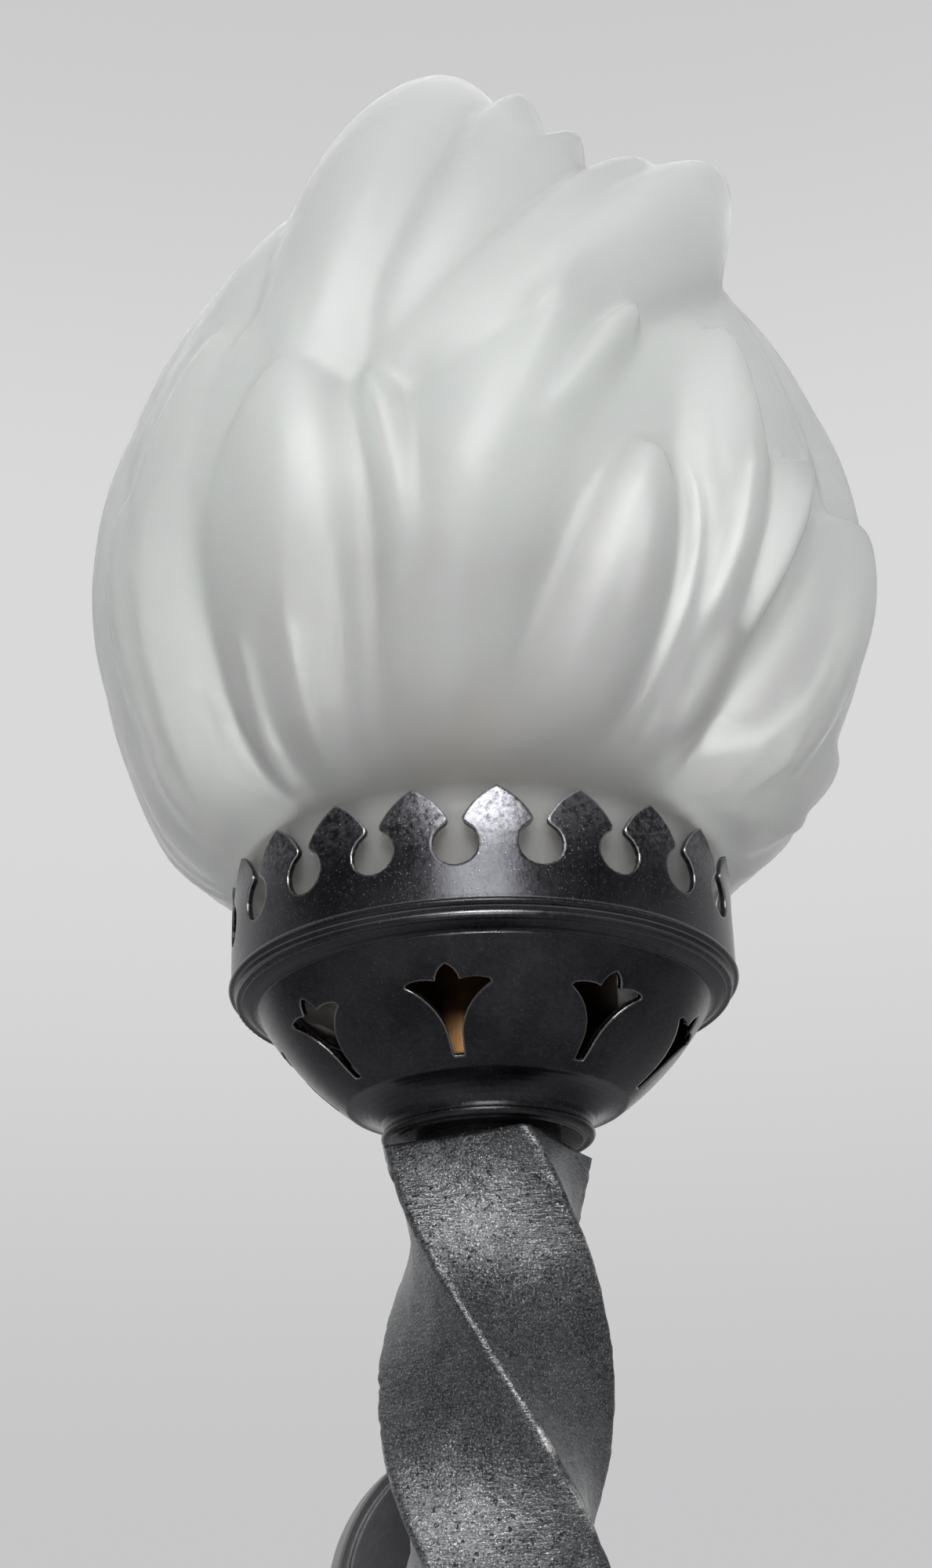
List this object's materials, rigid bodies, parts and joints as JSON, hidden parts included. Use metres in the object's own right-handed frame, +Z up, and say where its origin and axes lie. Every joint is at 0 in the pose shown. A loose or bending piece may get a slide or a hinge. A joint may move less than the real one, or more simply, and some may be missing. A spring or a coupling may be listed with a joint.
{
  "type": "torch sconce",
  "caption": "Wall light: a flame-shaped translucent glass shade in a pierced, pointed metal cup on a twisted square bar, held off a slim pointed wall plate by a short arm.",
  "frame": {"origin": "middle of the wall plate, in the plane of the wall, between the two wall-screw holes", "axes": "+Z up along the stem, +Y into the wall, +X to the right as seen from the room"},
  "size_m": [0.16, 0.1871, 0.5047],
  "materials": {
    "hammered_iron": "hammered and wire-brushed grey iron with worn bright edges",
    "dark_pewter": "smooth satin dark pewter over spun steel, mottled, edges rubbed bright",
    "plate_iron": "dark satin lacquer over steel",
    "zinc_steel": "bright zinc-plated steel",
    "aged_brass": "brass dulled brown by heat and age",
    "flame_glass": "milky satin glass with glossy fire-polished ridges",
    "opal_glass": "soft white opal",
    "felt": "brown pressed felt",
    "bakelite": "dark brown-black phenolic moulding",
    "porcelain": "white glazed porcelain",
    "lamp_cap": "nickel-coloured rolled sheet",
    "black_glass": "black vitreous insulation with a solder tip",
    "nylon": "natural nylon",
    "wire_brown": "brown insulation",
    "wire_blue": "blue insulation",
    "wire_earth": "green insulation with a yellow stripe"
  },
  "bodies": {
    "fixture": {"wall_strap": "zinc_steel", "strap_studs": "zinc_steel", "earth_screw": "aged_brass", "terminal_block": "nylon", "terminal_screws": "zinc_steel", "wall_plate": "plate_iron", "cap_nuts": "plate_iron", "arm_tube": "plate_iron", "arm_nut": "zinc_steel", "rear_ferrule": "plate_iron", "front_ferrule": "plate_iron", "hub": "hammered_iron", "twisted_stem": "hammered_iron", "tail_bar": "hammered_iron", "tie_rod": "zinc_steel", "tail_collar": "hammered_iron", "tail_finial": "hammered_iron", "threaded_tube": "aged_brass", "neck_spacer": "plate_iron", "pierced_bowl": "dark_pewter", "crown_gallery": "dark_pewter", "felt_ring": "felt", "base_spacer": "aged_brass", "holder_sleeve": "aged_brass", "riser_tube": "aged_brass", "holder_cap": "bakelite", "holder_barrel": "bakelite", "holder_insulator": "porcelain", "screw_shell": "aged_brass", "centre_contact": "aged_brass", "holder_terminals": "aged_brass", "live_wire": "wire_brown", "neutral_wire": "wire_blue", "earth_wire": "wire_earth"},
    "shade": {"flame_shade": "flame_glass"},
    "bulb": {"bulb_glass": "opal_glass", "bulb_screw_cap": "lamp_cap", "bulb_contact": "black_glass"}
  },
  "joints": [
    {"name": "shade_lift", "type": "slide", "parent": "fixture", "child": "shade", "axis": [0, 0, 1], "range_m": [0, 0.16]},
    {"name": "bulb_turn", "type": "hinge", "parent": "fixture", "child": "bulb", "pos_m": [0, -0.104, 0.222], "axis": [0, 0, 1], "range_deg": [0, 720]}
  ]
}
